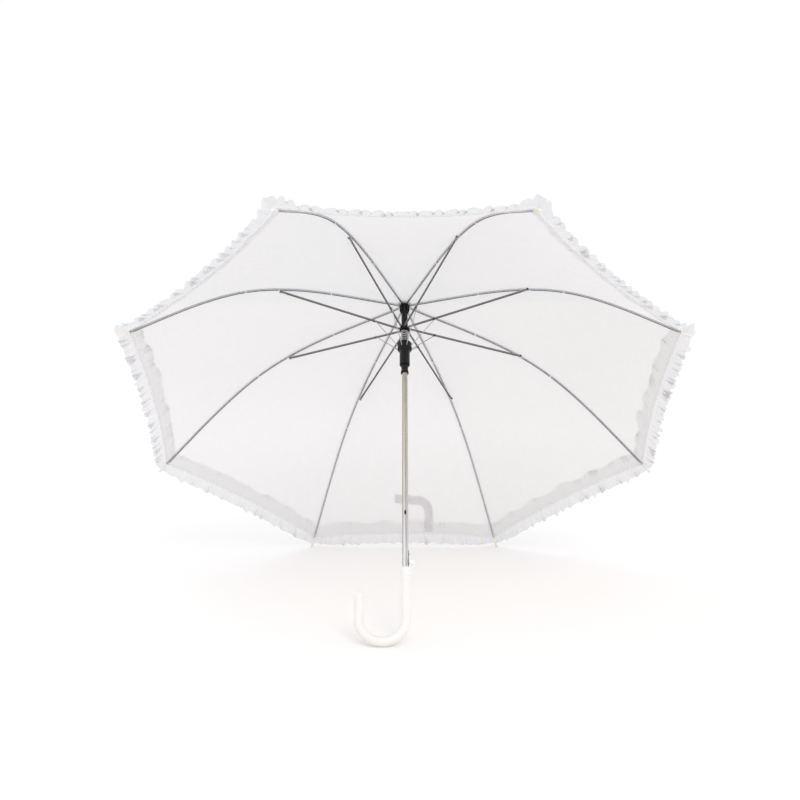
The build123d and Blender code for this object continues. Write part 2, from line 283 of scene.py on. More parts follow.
def cloth_group():
    """Plain weave with slubs: a colour mask and a height, on the piece's own UV in metres."""
    tree, i, o = group(
        "Weave",
        [("Thread", "NodeSocketFloat", 0.0009), ("Slub", "NodeSocketFloat", 0.5)],
        [("Height", "NodeSocketFloat"), ("Tone", "NodeSocketFloat")],
    )
    uv = add(tree, "ShaderNodeTexCoord")
    scale = add(tree, "ShaderNodeMath", [(1, i.outputs["Thread"])], operation="DIVIDE", in_0=1.0)
    spread = add(
        tree, "ShaderNodeVectorMath", [(0, uv.outputs["UV"]), (3, scale.outputs[0])], operation="SCALE"
    )
    weave = add(tree, "ShaderNodeTexChecker", [(0, spread.outputs[0])], in_3=1.0)
    slub = add(
        tree,
        "ShaderNodeTexNoise",
        [("Vector", uv.outputs["UV"])],
        noise_dimensions="2D",
    )
    slub.inputs["Scale"].default_value = 60.0
    slub.inputs["Detail"].default_value = 4.0
    part = add(
        tree, "ShaderNodeMath", [(0, slub.outputs["Fac"]), (1, i.outputs["Slub"])], operation="MULTIPLY"
    )
    height = add(
        tree, "ShaderNodeMath", [(0, weave.outputs["Fac"]), (1, part.outputs[0])], operation="ADD"
    )
    tree.links.new(height.outputs[0], o.inputs["Height"])
    tree.links.new(slub.outputs["Fac"], o.inputs["Tone"])
    return tree


def moulding_group():
    """Faint flow marks and fine orange peel of moulded plastic."""
    tree, i, o = group(
        "Moulded plastic",
        [("Peel", "NodeSocketFloat", 900.0), ("Flow", "NodeSocketFloat", 25.0)],
        [("Height", "NodeSocketFloat"), ("Mask", "NodeSocketFloat")],
    )
    place = add(tree, "ShaderNodeTexCoord")
    peel = add(
        tree, "ShaderNodeTexNoise", [("Vector", place.outputs["Object"]), ("Scale", i.outputs["Peel"])]
    )
    flow = add(
        tree, "ShaderNodeTexNoise", [("Vector", place.outputs["Object"]), ("Scale", i.outputs["Flow"])]
    )
    flow.inputs["Detail"].default_value = 5.0
    tree.links.new(peel.outputs["Fac"], o.inputs["Height"])
    tree.links.new(flow.outputs["Fac"], o.inputs["Mask"])
    return tree


def drawn_group():
    """Lengthwise drawing lines of steel along the shaft, as a mask."""
    tree, i, o = group(
        "Drawn steel",
        [("Lines", "NodeSocketFloat", 1200.0)],
        [("Mask", "NodeSocketFloat")],
    )
    place = add(tree, "ShaderNodeTexCoord")
    turn = add(tree, "ShaderNodeMapping", [("Vector", place.outputs["Object"])], vector_type="TEXTURE")
    turn.inputs["Rotation"].default_value = Matrix(TURN.tolist()).to_euler()
    flat = add(tree, "ShaderNodeVectorMath", [(0, turn.outputs[0])], operation="MULTIPLY")
    flat.inputs[1].default_value = (1.0, 1.0, 0.02)
    lines = add(
        tree, "ShaderNodeTexNoise", [("Vector", flat.outputs[0]), ("Scale", i.outputs["Lines"])]
    )
    lines.inputs["Detail"].default_value = 3.0
    tree.links.new(lines.outputs["Fac"], o.inputs["Mask"])
    return tree


GROUPS = {}


def shared(name):
    if name not in GROUPS:
        GROUPS[name] = {"weave": cloth_group, "mould": moulding_group, "drawn": drawn_group}[name]()
    return GROUPS[name]


def start(name):
    m = bpy.data.materials.new(name)
    m.use_nodes = True
    tree = m.node_tree
    return m, tree, tree.nodes["Principled BSDF"], tree.nodes["Material Output"]


def between(tree, mask, low, high):
    """The mask spread from low to high, as a value."""
    node = add(tree, "ShaderNodeMapRange", [(0, mask)])
    node.inputs["From Min"].default_value = 0.3
    node.inputs["From Max"].default_value = 0.7
    node.inputs["To Min"].default_value = low
    node.inputs["To Max"].default_value = high
    return node.outputs[0]


def tint(tree, mask, low, high):
    """The mask as a colour from low to high."""
    node = add(tree, "ShaderNodeMix", data_type="RGBA")
    tree.links.new(between(tree, mask, 0.0, 1.0), node.inputs["Factor"])
    node.inputs[6].default_value = (*low, 1)
    node.inputs[7].default_value = (*high, 1)
    return node.outputs[2]


def bump(tree, height, strength, distance):
    node = add(tree, "ShaderNodeBump", [("Height", height)])
    node.inputs["Strength"].default_value = strength
    node.inputs["Distance"].default_value = distance
    return node.outputs[0]


def cloth_finish(name, color, through, clear=0.0, thread=0.0009, dark=0.97):
    """Thin cloth that lets light through, and through its holes where it is sheer."""
    m, tree, main, out = start(name)
    weave = add(tree, "ShaderNodeGroup", node_tree=shared("weave"))
    weave.inputs["Thread"].default_value = thread
    pale = tuple(color)
    shade = tint(tree, weave.outputs["Tone"], tuple(c * dark for c in pale), pale)
    normal = bump(tree, weave.outputs["Height"], 0.25, 0.0002)
    tree.links.new(shade, main.inputs["Base Color"])
    tree.links.new(normal, main.inputs["Normal"])
    main.inputs["Roughness"].default_value = 0.8
    main.inputs["Specular IOR Level"].default_value = 0.25
    main.inputs["Sheen Weight"].default_value = 0.15
    main.inputs["Sheen Roughness"].default_value = 0.5
    glow = add(tree, "ShaderNodeBsdfTranslucent", [("Color", shade), ("Normal", normal)])
    mix = add(tree, "ShaderNodeMixShader", [(1, main.outputs[0]), (2, glow.outputs[0])])
    mix.inputs[0].default_value = through
    last = mix.outputs[0]
    if clear:
        hole = add(tree, "ShaderNodeBsdfTransparent")
        sheer = add(tree, "ShaderNodeMixShader", [(1, last), (2, hole.outputs[0])])
        sheer.inputs[0].default_value = clear
        last = sheer.outputs[0]
    tree.links.new(last, out.inputs["Surface"])
    return m


def plastic_finish(name, color, rough, coat=0.0, dark=0.9, depth=0.00004, milky=0.0, shine=0.5):
    m, tree, main, _ = start(name)
    mould = add(tree, "ShaderNodeGroup", node_tree=shared("mould"))
    pale = tuple(color)
    tree.links.new(
        tint(tree, mould.outputs["Mask"], tuple(c * dark for c in pale), pale), main.inputs["Base Color"]
    )
    tree.links.new(between(tree, mould.outputs["Mask"], rough * 0.8, rough * 1.3), main.inputs["Roughness"])
    tree.links.new(bump(tree, mould.outputs["Height"], 0.3, depth), main.inputs["Normal"])
    main.inputs["Specular IOR Level"].default_value = shine
    main.inputs["Coat Weight"].default_value = coat
    main.inputs["Coat Roughness"].default_value = 0.06
    if milky:
        main.inputs["Subsurface Weight"].default_value = milky
        main.inputs["Subsurface Radius"].default_value = (0.004, 0.004, 0.0045)
        main.inputs["Subsurface Scale"].default_value = 1.0
    return m


def steel_finish(name, color, rough, dark=0.8, lines=1200.0):
    m, tree, main, _ = start(name)
    drawn = add(tree, "ShaderNodeGroup", node_tree=shared("drawn"))
    drawn.inputs["Lines"].default_value = lines
    pale = tuple(color)
    tree.links.new(
        tint(tree, drawn.outputs["Mask"], tuple(c * dark for c in pale), pale), main.inputs["Base Color"]
    )
    gloss = between(tree, drawn.outputs["Mask"], rough * 0.75, rough * 1.35)
    tree.links.new(gloss, main.inputs["Roughness"])
    main.inputs["Metallic"].default_value = 1.0
    return m


def shaft_finish(color):
    """Steel that is warmer toward the canopy, with drawing lines along it, a painted reflection in stripes
    across it and painted shade inside the spring.
    """
    m, tree, main, _ = start("shaft_steel_finish")
    drawn = add(tree, "ShaderNodeGroup", node_tree=shared("drawn"))
    place = add(tree, "ShaderNodeTexCoord")
    turn = add(tree, "ShaderNodeVectorMath", [(0, place.outputs["Object"])], operation="SUBTRACT")
    turn.inputs[1].default_value = tuple(ORIGIN)
    far = add(tree, "ShaderNodeVectorMath", [(0, turn.outputs[0])], operation="DOT_PRODUCT")
    far.inputs[1].default_value = tuple(AXIS_Z)
    ramp = add(tree, "ShaderNodeMapRange", [(0, far.outputs["Value"])])
    ramp.inputs["From Min"].default_value = 0.17
    ramp.inputs["From Max"].default_value = 0.50
    cool = (0.94, 0.925, 0.88)
    warm = add(tree, "ShaderNodeMix", [("Factor", ramp.outputs[0])], data_type="RGBA")
    warm.inputs[6].default_value = (*color, 1)
    warm.inputs[7].default_value = (*cool, 1)
    shade = add(tree, "ShaderNodeMix", [(6, warm.outputs[2])], data_type="RGBA", blend_type="MULTIPLY")
    shade.inputs["Factor"].default_value = 1.0
    tree.links.new(tint(tree, drawn.outputs["Mask"], (0.8, 0.8, 0.8), (1, 1, 1)), shade.inputs[7])
    # stripes painted along the tube as a painted reflection: fixed bright and dark bands across X, standing
    # in for what the shiny tube reflects, so that it looks round and bright in a plain white room
    side = add(tree, "ShaderNodeSeparateXYZ", [(0, place.outputs["Object"])])
    wide = add(tree, "ShaderNodeMapRange", [(0, side.outputs[0])])
    wide.inputs["From Min"].default_value = -SHAFT_RADIUS
    wide.inputs["From Max"].default_value = SHAFT_RADIUS
    painted_reflection_ramp = add(tree, "ShaderNodeValToRGB", [(0, wide.outputs[0])])
    stops = ((0, 0.4), (0.11, 0.55), (0.2, 1), (0.47, 1), (0.57, 0.42), (0.66, 0.68), (0.9, 0.9), (1, 0.65))
    while len(painted_reflection_ramp.color_ramp.elements) < len(stops):
        painted_reflection_ramp.color_ramp.elements.new(0.5)
    for stop, (spot, level) in zip(painted_reflection_ramp.color_ramp.elements, stops):
        stop.position = spot
        stop.color = (level, level, level, 1)
    # the painted reflection multiplies the steel's colour, stronger toward the handle
    seam = add(tree, "ShaderNodeMix", [(6, shade.outputs[2])], data_type="RGBA", blend_type="MULTIPLY")
    tree.links.new(painted_reflection_ramp.outputs[0], seam.inputs[7])
    tree.links.new(between(tree, ramp.outputs[0], 0.45, 1.0), seam.inputs["Factor"])
    # painted shade inside the spring: the shaft is painted near black there, standing in for the shade
    # inside the coil, so that the coils stand out
    under = add(tree, "ShaderNodeMath", [(0, far.outputs["Value"])], operation="COMPARE")
    under.inputs[1].default_value = 0.078
    under.inputs[2].default_value = 0.034
    last = add(tree, "ShaderNodeMix", [(6, seam.outputs[2])], data_type="RGBA")
    tree.links.new(under.outputs[0], last.inputs["Factor"])
    last.inputs[7].default_value = (0.02, 0.02, 0.022, 1)
    tree.links.new(last.outputs[2], main.inputs["Base Color"])
    tree.links.new(between(tree, drawn.outputs["Mask"], 0.2, 0.34), main.inputs["Roughness"])
    main.inputs["Metallic"].default_value = 1.0
    return m


def repaint(nodes, material):
    """Give CAD nodes a material in place of their own."""
    for n in nodes:
        o = frame["nodes"][n]
        if not o.material_slots:
            o.data.materials.append(material)
        for s in o.material_slots:
            s.material = material


# ---- meshes ----
def mesh_piece(name, points, faces, material, uv=None, smooth=True):
    """A mesh object at the origin, from points in the row's frame."""
    me = bpy.data.meshes.new(name)
    me.from_pydata([tuple(p) for p in points], [], faces)
    if uv is not None:
        layer = me.uv_layers.new(name="UVMap")
        loops = np.zeros(len(me.loops), np.int32)
        me.loops.foreach_get("vertex_index", loops)
        layer.data.foreach_set("uv", np.asarray(uv, np.float32)[loops].ravel())
    if smooth:
        me.polygons.foreach_set("use_smooth", [True] * len(me.polygons))
    me.materials.append(material)
    me.update()
    o = bpy.data.objects.new(name, me)
    bpy.context.collection.objects.link(o)
    return o


def grid_faces(rows, cols, flip=False):
    out = []
    for i in range(rows - 1):
        for j in range(cols - 1):
            a = i * cols + j
            f = (a, a + 1, a + cols + 1, a + cols)
            out.append(f[::-1] if flip else f)
    return out


# ---- the cloth's surface ----
def noise_row(seed, count, low, high):
    """Seeded waves over the whole hem that join up with themselves."""
    r = np.random.default_rng(seed)
    k = r.integers(low, high, count)
    return k, r.uniform(0, 2 * math.pi, count), r.uniform(0.5, 1.0, count) / count**0.5


def waves(table, turn):
    """turn is the place round the hem, from 0 to 1."""
    k, start_at, size = table
    return np.sum(
        size[:, None] * np.sin(2 * math.pi * k[:, None] * turn[None] + start_at[:, None]), axis=0
    )


SLACK = noise_row(11, 14, 3, 60)
PUCKER = noise_row(12, 8, 4, 40)
DRIFT = noise_row(13, 18, 5, 90)
DRIFT_FINE = noise_row(14, 16, 5, 120)
EDGE = noise_row(15, 24, 60, 200)
LUMPS = noise_row(16, 9, 18, 62)
STAND = noise_row(17, 24, 20, 120)
CREASE = noise_row(18, 10, 16, 90)


def hem_radius(c):
    """The hem as the rib radius it lies level with, at c from -1 to 1 across a gore."""
    return HEM_RADIUS - settings().canopy.scallop * (1 - np.asarray(c, float) ** 2)


def upward(gore):
    """1 where a gore's rim faces straight up, 0 where it is upright or faces down."""
    middle = HALF * 2 * gore
    level = TURN[2, 0] * math.cos(middle) + TURN[2, 1] * math.sin(middle)
    return max(float(level - TURN[2, 2]) / math.sqrt(2), 0)


def surface(gore, c, radius, lift=0.0):
    """Points on gore's cloth in the row's frame. Gore g lies between ribs g and g + 1."""
    s = settings().canopy
    c, radius = np.broadcast_arrays(np.asarray(c, float), np.asarray(radius, float))
    c, radius = c.ravel(), radius.ravel()
    lift = np.broadcast_to(np.asarray(lift, float), c.shape)
    slope = RIB(radius, True)
    size = np.hypot(RIM_COSINE, slope)
    out_m, out_z = slope / size, -RIM_COSINE / size
    # the ribs' backs, then the dip between the ribs, deepest where the ribs bend most
    share = np.clip((radius - 0.03) / 0.475, 0, 1)
    dip = s.sag * np.sin(math.pi * share**0.9) ** 1.3 * (1 - c**2)
    turn = (gore - 1 + (c + 1) / 2) / RIBS
    inside = np.clip(hem_radius(c) - radius, 0, None)
    ribward = np.clip(1 - np.abs(c), 0, 1)
    near_rib = 1 - np.exp(-ribward * radius / 0.02)
    pucker = s.pucker * np.sin(2 * math.pi * 17 * RIBS * turn + 2.5 * waves(PUCKER, turn))
    pucker = pucker * np.exp(-inside / 0.022) * near_rib
    # the hem of the upper gores hangs a little under the frill's weight
    middle = HALF * 2 * gore
    fall = s.fall * upward(gore) * (1 - c**2) * share**6
    fan = 0.0007 * np.sin(2 * math.pi * ribward * radius / 0.026 + 3 * waves(PUCKER, turn))
    fan = fan * np.exp(-ribward * radius / 0.09 - inside / 0.07) * near_rib
    slack = 0.0009 * waves(SLACK, turn + 0.15 * radius) * near_rib * share
    crease = 0.0006 * waves(CREASE, turn) * np.exp(-((radius - 0.40) / 0.09) ** 2) * near_rib
    up = s.lift + lift - dip - fall + pucker + fan + slack + crease
    m = radius * RIM_COSINE + out_m * up
    z = RIB(radius) + out_z * up
    n = radius * RIM_SINE * c
    return to_row(spin(np.stack([m, n, z], 1), middle))


def sides(count):
    """The two half gores beside a rib, as (gore offset, c) columns from one gore's middle to the next."""
    share = np.linspace(0, 1, count)
    return [(-1, c) for c in share] + [(0, c) for c in share[1:] - 1]


def border(c):
    """Where the inner and outer cloth meet: straight across the rib at its bend."""
    return JOINT_RADIUS / (RIM_COSINE ** 2 + RIM_SINE ** 2 * np.abs(c))


def keep_off_floor(points, least=0.0012):
    """Lift what would lie below the floor to just above it, and a little way back."""
    low = np.clip(least - points[:, 2], 0, None)
    points[:, 2] += low
    points[:, 1] += low * 0.6
    return points


class UMBRELLA_OT_canopy(Operator):
    """The canopy: one sheet over eight ribs, parted where the ribs bend so that it folds"""

    bl_idname = "umbrella.canopy"
    bl_label = "Canopy"

    def execute(self, context):
        finish = settings().finish
        cloth = cloth_finish("canopy_cloth_finish", finish.cloth, 0.42, 0.34, dark=0.985)
        columns = sides(22)
        for k in range(1, RIBS + 1):
            for part in ("inner", "outer"):
                self.build(k, part, columns, cloth)
        return {"FINISHED"}

    def build(self, k, part, columns, cloth):
        rows = 34 if part == "inner" else 46
        share = np.linspace(0, 1, rows)
        points, uv = [], []
        for step, c in columns:
            low, high = SHEET_START, float(border(c))
            if part == "outer":
                low, high = high, float(hem_radius(c))
            radius = low + (high - low) * share
            p = surface(k + step, np.full(rows, c), radius)
            points.append(p)
            way = np.concatenate([[0], np.cumsum(np.linalg.norm(np.diff(p, axis=0), axis=1))])
            side = (c - 1 if step else c + 1) * radius * RIM_SINE
            uv.append(np.stack([side, way + low * 1.03], axis=1))
        points = keep_off_floor(np.concatenate(points))
        o = mesh_piece(
            f"canopy_{part}_{k}", points, grid_faces(len(columns), rows, True), cloth, np.concatenate(uv)
        )
        if part == "inner":
            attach(o, f"rib_{k}")
        else:
            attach(o, f"rib_outer_{k}")
            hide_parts(f"canopy_{k}")
        folded(o)


def folded(o):
    """Give a piece of cloth its own copy of its mesh."""
    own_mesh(o)


INNER_ROWS, OUTER_ROWS, FRILL_STEPS = 10, 13, 600


class UMBRELLA_OT_frill(Operator):
    """The gathered frill along the hem, free at both its edges"""

    bl_idname = "umbrella.frill"
    bl_label = "Frill"

    def execute(self, context):
        pale = settings().finish.frill
        sheer = cloth_finish("frill_cloth_finish", pale, 0.5, 0.29, 0.0006)
        # one cloth with two finishes: the half over the canopy is painted paler and clearer, as painted
        # light that lessens the shade it casts through the canopy
        flat = cloth_finish("frill_painted_light_finish", tuple(c * 1.08 for c in pale), 0.55, 0.45, 0.0006)
        for k in range(1, RIBS + 1):
            self.build(k, sheer, flat)
        return {"FINISHED"}

    def build(self, k, sheer, flat):
        s = settings().frill
        # two points more at each end, which the slopes need and the mesh leaves out
        share = np.arange(-FRILL_STEPS // 2 - 2, FRILL_STEPS // 2 + 3) / FRILL_STEPS
        turn = (k - 1 + share) / RIBS
        gore = np.where(share < 0, k - 1, k)
        c = np.where(share < 0, 2 * share + 1, 2 * share - 1)
        fold = 2 * math.pi * s.folds * turn + 2.3 * waves(DRIFT, turn)
        fine = 2 * math.pi * s.gathers * turn + 2.0 * waves(DRIFT_FINE, turn)
        stand = np.clip(0.85 + 0.5 * waves(STAND, turn), 0.3, 1.6)
        lumps, ragged = 0.16 * waves(LUMPS, turn), 0.05 * waves(EDGE, turn)
        hem = hem_radius(c)
        low, high = upward(k - 1), upward(k)
        blend = np.clip(0.5 + share * 3, 0, 1)
        rise = low + (high - low) * blend
        near_tip = np.exp(-((share * 2 * hem * RIM_SINE / 0.024) ** 2))
        spots = np.concatenate([np.linspace(-1, 0, INNER_ROWS), np.linspace(0, 1, OUTER_ROWS)[1:]])
        rows = []
        for b in spots:
            far = abs(b)
            gathers = 0.00035 * math.exp(-far / 0.45) * np.sin(fine)
            if b < 0:
                reach = b * s.inside * (1 + lumps)
                up = 0.0010 + 0.5 * s.height * far * (1 + np.sin(fold)) * stand * 0.6 + gathers
            else:
                reach = b * s.outside * (1 + ragged) * (1 - 0.22 * near_tip)
                up = 0.0010 + s.height * b * (np.sin(fold) + 0.2 * np.sin(2 * fold + 1)) * stand + gathers
                up = up + near_tip * (0.003 + 0.007 * b**2) * (1 + 0.2 * np.sin(fold))
                up = up + s.flare * rise * b**1.5
            lean = s.overlap * far * np.cos(fold + 0.6) * stand * (2.6 if b < 0 else 1.1)
            p = np.zeros((len(c), 3))
            for g in (k - 1, k):
                use = gore == g
                p[use] = surface(g, c[use], (hem - s.seam + reach)[use], up[use])
            along = np.gradient(p, axis=0)
            along /= np.maximum(np.linalg.norm(along, axis=1), 1e-9)[:, None]
            lean = lean - along[:, 2] * s.sink * reach * 1.4 * (1 - near_tip)
            rows.append((p + along * lean[:, None])[2:-2])
        rows = [keep_off_floor(p, 0.0008) for p in rows]
        gaps = [np.linalg.norm(b - a, axis=1) for a, b in zip(rows, rows[1:])]
        width = float(np.mean(np.sum(gaps, axis=0)))
        cols = len(rows[0])
        long = np.linspace(0, 1, cols)
        uv = np.concatenate([np.stack([long * 0.62, np.full(cols, b * width / 2)], 1) for b in spots])
        o = mesh_piece(f"frill_{k}", np.concatenate(rows), grid_faces(len(spots), cols), sheer, uv)
        o.data.materials.append(flat)
        # the paler, painted-light finish runs two rows past the seam, so that no dark line shows at the hem
        painted = (INNER_ROWS + 1) * (cols - 1)
        slots = [int(i < painted) for i in range(len(o.data.polygons))]
        o.data.polygons.foreach_set("material_index", slots)
        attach(o, f"rib_outer_{k}")
        folded(o)


# ---- geometry nodes ----
def geometry_tree(name, ins):
    tree = bpy.data.node_groups.new(name, "GeometryNodeTree")
    tree.interface.new_socket("Geometry", in_out="INPUT", socket_type="NodeSocketGeometry")
    ids = {}
    for n, kind, value in ins:
        s = tree.interface.new_socket(n, in_out="INPUT", socket_type=kind)
        if value is not None:
            s.default_value = value
        ids[n] = s.identifier
    tree.interface.new_socket("Geometry", in_out="OUTPUT", socket_type="NodeSocketGeometry")
    return tree, ids, tree.nodes.new("NodeGroupInput"), tree.nodes.new("NodeGroupOutput")


def finish_tree(tree, i, o, geometry):
    real = add(tree, "GeometryNodeRealizeInstances", [(0, geometry)])
    paint = add(
        tree, "GeometryNodeSetMaterial", [(0, real.outputs[0]), ("Material", i.outputs["Material"])]
    )
    tree.links.new(paint.outputs[0], o.inputs[0])


def grown(name, base, tree, ids, values):
    """The tree's result on the base mesh, as a plain mesh object at the origin."""
    o = bpy.data.objects.new(name, base)
    bpy.context.collection.objects.link(o)
    mod = o.modifiers.new("grow", "NODES")
    mod.node_group = tree
    for key, value in values.items():
        mod[ids[key]] = value
    o.update_tag()
    bpy.context.view_layer.update()
    deps = bpy.context.evaluated_depsgraph_get()
    me = bpy.data.meshes.new_from_object(o.evaluated_get(deps))
    o.modifiers.remove(mod)
    o.data = me
    me.name = name
    if not me.polygons:
        raise RuntimeError(f"{name} came out empty")
    return o


def path_mesh(lines):
    """A mesh of edges only, one run for each line of points."""
    me = bpy.data.meshes.new("path")
    points, edges = [], []
    for line in lines:
        start_at = len(points)
        points += [tuple(p) for p in line]
        edges += [(start_at + n, start_at + n + 1) for n in range(len(line) - 1)]
    me.from_pydata(points, edges, [])
    return me


def stitch_tree():
    """Short stitches set along every edge run of the base mesh."""
    tree, ids, i, o = geometry_tree(
        "Stitches",
        [
            ("Pitch", "NodeSocketFloat", 0.0032),
            ("Length", "NodeSocketFloat", 0.0022),
            ("Thread", "NodeSocketFloat", 0.00022),
            ("Material", "NodeSocketMaterial", None),
        ],
    )
    line = add(tree, "GeometryNodeMeshToCurve", [(0, i.outputs["Geometry"])])
    run = add(
        tree,
        "GeometryNodeResampleCurve",
        [("Curve", line.outputs[0]), ("Length", i.outputs["Pitch"])],
        mode="LENGTH",
    )
    way = add(tree, "GeometryNodeInputTangent")
    turn = add(tree, "FunctionNodeAlignRotationToVector", [("Vector", way.outputs[0])], axis="Z")
    stitch = add(
        tree,
        "GeometryNodeMeshCylinder",
        [("Radius", i.outputs["Thread"]), ("Depth", i.outputs["Length"])],
    )
    stitch.inputs["Vertices"].default_value = 5
    place = add(
        tree,
        "GeometryNodeInstanceOnPoints",
        [(0, run.outputs[0]), ("Instance", stitch.outputs[0]), ("Rotation", turn.outputs[0])],
    )
    finish_tree(tree, i, o, place.outputs[0])
    return tree, ids


def thread_tree():
    """Round thread or wire along every edge run of the base mesh."""
    tree, ids, i, o = geometry_tree(
        "Thread",
        [
            ("Radius", "NodeSocketFloat", 0.0003),
            ("Sides", "NodeSocketInt", 8),
            ("Material", "NodeSocketMaterial", None),
        ],
    )
    line = add(tree, "GeometryNodeMeshToCurve", [(0, i.outputs["Geometry"])])
    ring = add(
        tree,
        "GeometryNodeCurvePrimitiveCircle",
        [("Radius", i.outputs["Radius"]), ("Resolution", i.outputs["Sides"])],
        mode="RADIUS",
    )
    tube = add(
        tree,
        "GeometryNodeCurveToMesh",
        [("Curve", line.outputs[0]), ("Profile Curve", ring.outputs[0])],
    )
    tube.inputs["Fill Caps"].default_value = True
    soft = add(tree, "GeometryNodeSetShadeSmooth", [(0, tube.outputs[0])])
    finish_tree(tree, i, o, soft.outputs[0])
    return tree, ids


def coil_tree():
    """A round wire coil up Z from the origin."""
    tree, ids, i, o = geometry_tree(
        "Coil",
        [
            ("Turns", "NodeSocketFloat", 10.0),
            ("Height", "NodeSocketFloat", 0.04),
            ("Radius", "NodeSocketFloat", 0.0067),
            ("Wire", "NodeSocketFloat", 0.00075),
            ("Material", "NodeSocketMaterial", None),
        ],
    )
    coil = add(
        tree,
        "GeometryNodeCurveSpiral",
        [
            ("Rotations", i.outputs["Turns"]),
            ("Start Radius", i.outputs["Radius"]),
            ("End Radius", i.outputs["Radius"]),
            ("Height", i.outputs["Height"]),
        ],
    )
    coil.inputs["Resolution"].default_value = 40
    ring = add(
        tree, "GeometryNodeCurvePrimitiveCircle", [("Radius", i.outputs["Wire"])], mode="RADIUS"
    )
    ring.inputs["Resolution"].default_value = 12
    tube = add(
        tree,
        "GeometryNodeCurveToMesh",
        [("Curve", coil.outputs[0]), ("Profile Curve", ring.outputs[0])],
    )
    tube.inputs["Fill Caps"].default_value = True
    soft = add(tree, "GeometryNodeSetShadeSmooth", [(0, tube.outputs[0])])
    finish_tree(tree, i, o, soft.outputs[0])
    return tree, ids


class UMBRELLA_OT_stitching(Operator):
    """Hem stitches, rib seams, the frill's seam and the thread ties on the ribs"""

    bl_idname = "umbrella.stitching"
    bl_label = "Stitching and ties"

    def execute(self, context):
        thread = cloth_finish("thread_finish", (0.88, 0.88, 0.9), 0.15, 0.0, 0.0004)
        rows, ids = stitch_tree()
        cord, cord_ids = thread_tree()
        for k in range(1, RIBS + 1):
            self.seams(k, rows, ids, thread)
            self.ties(k, cord, cord_ids, thread)
        return {"FINISHED"}

    def seams(self, k, tree, ids, thread):
        share = np.linspace(0, 1, 60)
        out = []
        for side, gore in ((1, k), (-1, k - 1)):
            c = -side + side * share * 0.995
            out.append(surface(gore, c, hem_radius(c) - 0.0018, -0.0003))
            out.append(surface(gore, c, hem_radius(c) - settings().frill.seam, 0.0011))
        inner, outer = [], []
        for side, gore in ((1, k), (-1, k - 1)):
            low = np.linspace(0.016, JOINT_RADIUS, 50)
            c = -side * (1 - 0.0016 / (low * RIM_SINE))
            inner.append(surface(gore, c, low, 0.0003))
            high = np.linspace(JOINT_RADIUS, 0.492, 60)
            c = -side * (1 - 0.0016 / (high * RIM_SINE))
            outer.append(surface(gore, c, high, 0.0003))
        for body, lines, name in (
            (f"rib_{k}", inner, f"seam_inner_{k}"),
            (f"rib_outer_{k}", outer + out, f"seam_outer_{k}"),
        ):
            lines = [keep_off_floor(line.copy(), 0.001) for line in lines]
            o = grown(name, path_mesh(lines), tree, ids, {"Material": thread})
            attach(o, body)
            folded(o)

    def ties(self, k, tree, ids, thread):
        """Thread wound round the rib and knotted, in two places."""
        for number, (radius, body) in enumerate(((0.150, "rib_"), (0.312, "rib_outer_")), 1):
            t = np.linspace(0, 1, 90)
            slope = float(RIB(radius, True))
            size = math.hypot(1, slope)
            ex, ez = 1 / size, slope / size
            turn = 2 * math.pi * 4 * t
            wide, tall = 0.0019, 0.0021
            run = (t - 0.5) * 0.0022
            y = wide * np.cos(turn)
            d = tall * np.sin(turn) - 0.0002
            x = radius + ex * run - ez * d
            z = float(RIB(radius)) + ez * run + ex * d
            loop = np.stack([x, y, z], 1)
            share = np.linspace(0, 1, 14)
            tails = []
            for side in (1, -1):
                along, off = side * 0.004 * share, 0.0022 + 0.003 * share**2
                tx = radius + ex * along - ez * off
                tz = float(RIB(radius)) + ez * along + ex * off
                tails.append(np.stack([tx, side * 0.0016 * share, tz], 1))
            lines = [to_row(spin(line, rib_angle(k))) for line in [loop, *tails]]
            values = {"Radius": 0.00034, "Material": thread}
            o = grown(f"tie_{k}_{number}", path_mesh(lines), tree, ids, values)
            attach(o, f"{body}{k}")


def rivet_tree():
    """A low domed rivet head at every point of the base mesh."""
    tree, ids, i, o = geometry_tree(
        "Rivets",
        [
            ("Radius", "NodeSocketFloat", 0.0021),
            ("Turn", "NodeSocketVector", None),
            ("Material", "NodeSocketMaterial", None),
        ],
    )
    spots = add(tree, "GeometryNodeMeshToPoints", [(0, i.outputs["Geometry"])])
    ball = add(tree, "GeometryNodeMeshUVSphere", [("Radius", i.outputs["Radius"])])
    ball.inputs["Segments"].default_value = 14
    ball.inputs["Rings"].default_value = 8
    low = add(tree, "GeometryNodeTransform", [("Geometry", ball.outputs[0])])
    low.inputs["Scale"].default_value = (1.0, 1.0, 0.42)
    soft = add(tree, "GeometryNodeSetShadeSmooth", [(0, low.outputs[0])])
    turned = add(tree, "FunctionNodeEulerToRotation", [(0, i.outputs["Turn"])])
    place = add(
        tree,
        "GeometryNodeInstanceOnPoints",
        [(0, spots.outputs[0]), ("Instance", soft.outputs[0]), ("Rotation", turned.outputs[0])],
    )
    finish_tree(tree, i, o, place.outputs[0])
    return tree, ids


class UMBRELLA_OT_rivets(Operator):
    """Domed rivet heads where a strut meets its stretcher and a stretcher its rib"""

    bl_idname = "umbrella.rivets"
    bl_label = "Rivets"

    def execute(self, context):
        steel = steel_finish("rivet_steel_finish", (0.07, 0.07, 0.07), 0.3)
        tree, ids = rivet_tree()
        for k in range(1, RIBS + 1):
            me = bpy.data.meshes.new("rivets")
            spots = ((STRUT_MEETS, 0.0046), (STRUT_MEETS, 0.0020), (STRETCHER_MEETS, 0.0052))
            at = [[radius, beside, depth] for (radius, depth), beside in spots]
            me.from_pydata([tuple(p) for p in to_row(spin(at, rib_angle(k)))], [], [])
            turn = Vector(across(k)).to_track_quat("Z", "Y").to_euler()
            o = grown(f"rivets_{k}", me, tree, ids, {"Turn": tuple(turn), "Material": steel})
            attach(o, f"stretcher_{k}")
        return {"FINISHED"}


